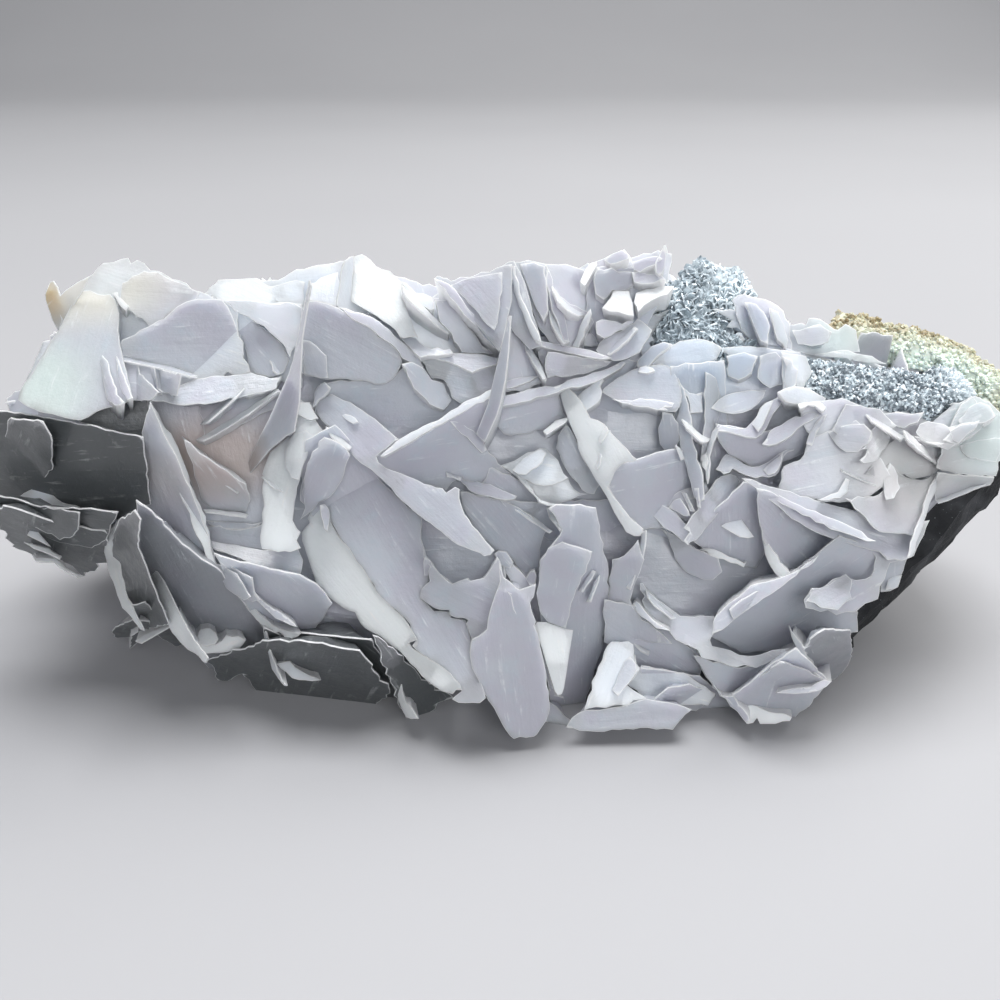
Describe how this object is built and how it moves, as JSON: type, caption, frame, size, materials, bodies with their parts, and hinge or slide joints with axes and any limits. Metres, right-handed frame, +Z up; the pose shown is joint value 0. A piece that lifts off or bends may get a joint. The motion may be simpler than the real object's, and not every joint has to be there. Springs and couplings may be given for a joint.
{
  "type": "calcite specimen",
  "caption": "Elongated cluster of thin white bladed calcite crystals on dark host rock, with grey sparkling druse and a tan rind at one end.",
  "frame": {"origin": "on the flat that the specimen rests on, below the middle of its length", "axes": "+X along the specimen towards its dark rock end, -Y out of the bladed front, +Z up"},
  "size_m": [0.186, 0.0873, 0.076],
  "materials": {
    "calcite": "satin",
    "host_rock": "matte",
    "druse": "gloss",
    "rind": "matte"
  },
  "bodies": {
    "root": {"bladed_calcite": "calcite", "dark_matrix": "host_rock", "druse_crest": "druse", "druse_shoulder": "druse", "ochre_rind": "rind"}
  },
  "joints": []
}
